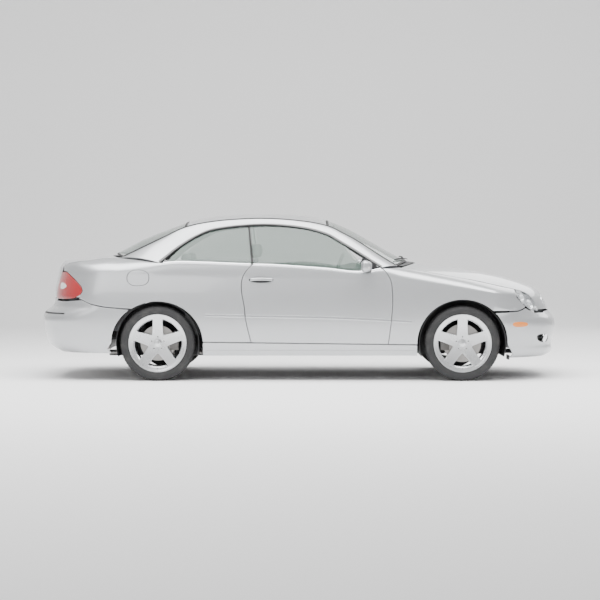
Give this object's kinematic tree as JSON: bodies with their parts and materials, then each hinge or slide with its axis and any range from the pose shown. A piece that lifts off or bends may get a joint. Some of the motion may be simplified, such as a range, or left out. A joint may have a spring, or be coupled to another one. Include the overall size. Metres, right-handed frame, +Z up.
{
  "type": "two-door coupe car",
  "caption": "Two-door four-seat coupe car with pillarless side windows, opening doors, hood, trunk lid and fuel flap, steered front wheels and rolling wheels.",
  "frame": {"origin": "on the ground under the middle of the car, at the centre of its bounding box", "axes": "+X towards the nose, +Y to the left side, +Z up"},
  "size_m": [4.6482, 2.003, 1.4726],
  "materials": {
    "silver_paint": "silver metallic under clear coat",
    "tinted_glass": "green tinted safety glass",
    "clear_lamp": "clear lamp cover",
    "red_lamp": "red lamp cover with a clear wedge",
    "black_trim": "black moulded plastic",
    "dark_steel": "dark underbody paint",
    "cast_iron": "bare cast and forged metal",
    "exhaust_steel": "dull steel",
    "dashboard_plastic": "grained soft plastic",
    "seat_leather": "dark stitched leather",
    "tyre": "black rubber",
    "wheel_alloy": "painted cast alloy"
  },
  "bodies": {
    "body": {"floor_pan": "dark_steel", "front_structure": "dark_steel", "firewall": "dark_steel", "cowl": "black_trim", "body_side_left": "silver_paint", "body_side_right": "silver_paint", "roof_panel": "silver_paint", "windshield": "tinted_glass", "rear_window": "tinted_glass", "quarter_glass": "tinted_glass", "fender_left": "silver_paint", "fender_right": "silver_paint", "front_bumper": "silver_paint", "rear_bumper": "silver_paint", "side_sills": "silver_paint", "headlamps": "clear_lamp", "tail_lamps": "red_lamp", "wheel_liners": "black_trim", "engine_block": "cast_iron", "dashboard": "dashboard_plastic", "front_seats": "seat_leather", "rear_seat": "seat_leather", "rear_bulkhead": "dark_steel", "exhaust": "exhaust_steel", "front_axle": "cast_iron", "rear_axle": "cast_iron"},
    "door_left": {"door_left": "silver_paint", "door_glass_left": "tinted_glass", "mirror_left": "silver_paint", "handle_left": "silver_paint"},
    "door_right": {"door_right": "silver_paint", "door_glass_right": "tinted_glass", "mirror_right": "silver_paint", "handle_right": "silver_paint"},
    "hood": {"hood": "silver_paint", "grille": "black_trim"},
    "trunk_lid": {"trunk_lid": "silver_paint"},
    "fuel_flap": {"fuel_flap": "silver_paint"},
    "steering_wheel": {"steering_wheel": "dashboard_plastic"},
    "knuckle_left": {"knuckle_left": "cast_iron"},
    "knuckle_right": {"knuckle_right": "cast_iron"},
    "wheel_front_left": {"tyre_front_left": "tyre", "rim_front_left": "wheel_alloy"},
    "wheel_front_right": {"tyre_front_right": "tyre", "rim_front_right": "wheel_alloy"},
    "wheel_rear_left": {"tyre_rear_left": "tyre", "rim_rear_left": "wheel_alloy"},
    "wheel_rear_right": {"tyre_rear_right": "tyre", "rim_rear_right": "wheel_alloy"}
  },
  "joints": [
    {"name": "door_left_hinge", "type": "hinge", "parent": "body", "child": "door_left", "pos_m": [0.819, 0.868, 0.66], "axis": [0, 0, -1], "range_deg": [0, 70]},
    {"name": "door_right_hinge", "type": "hinge", "parent": "body", "child": "door_right", "pos_m": [0.819, -0.868, 0.66], "axis": [0, 0, 1], "range_deg": [0, 70]},
    {"name": "hood_hinge", "type": "hinge", "parent": "body", "child": "hood", "pos_m": [0.9, 0, 0.996], "axis": [0, -1, 0], "range_deg": [0, 50]},
    {"name": "trunk_hinge", "type": "hinge", "parent": "body", "child": "trunk_lid", "pos_m": [-1.602, 0, 1.082], "axis": [0, 1, 0], "range_deg": [0, 75]},
    {"name": "fuel_flap_hinge", "type": "hinge", "parent": "body", "child": "fuel_flap", "pos_m": [-1.312, -0.856, 0.9], "axis": [0, 0, 1], "range_deg": [0, 85]},
    {"name": "steer_left", "type": "hinge", "parent": "body", "child": "knuckle_left", "pos_m": [1.427, 0.7, 0.33], "axis": [0, 0, 1], "range_deg": [-33, 33]},
    {"name": "steer_right", "type": "hinge", "parent": "body", "child": "knuckle_right", "pos_m": [1.427, -0.7, 0.33], "axis": [0, 0, 1], "range_deg": [-33, 33]},
    {"name": "steering_wheel_turn", "type": "hinge", "parent": "body", "child": "steering_wheel", "pos_m": [0.338, 0.37, 0.933], "axis": [-0.9298, 0, 0.3681], "range_deg": [-490, 490]},
    {"name": "wheel_front_left_spin", "type": "hinge", "parent": "knuckle_left", "child": "wheel_front_left", "pos_m": [1.427, 0.7465, 0.33], "axis": [0, 1, 0], "continuous": true},
    {"name": "wheel_front_right_spin", "type": "hinge", "parent": "knuckle_right", "child": "wheel_front_right", "pos_m": [1.427, -0.7465, 0.33], "axis": [0, 1, 0], "continuous": true},
    {"name": "wheel_rear_left_spin", "type": "hinge", "parent": "body", "child": "wheel_rear_left", "pos_m": [-1.2365, 0.737, 0.33], "axis": [0, 1, 0], "continuous": true},
    {"name": "wheel_rear_right_spin", "type": "hinge", "parent": "body", "child": "wheel_rear_right", "pos_m": [-1.2365, -0.737, 0.33], "axis": [0, 1, 0], "continuous": true}
  ],
  "couplings": [
    {"joint": "steer_right", "follows": "steer_left", "ratio": 1},
    {"joint": "steering_wheel_turn", "follows": "steer_left", "ratio": 14}
  ]
}
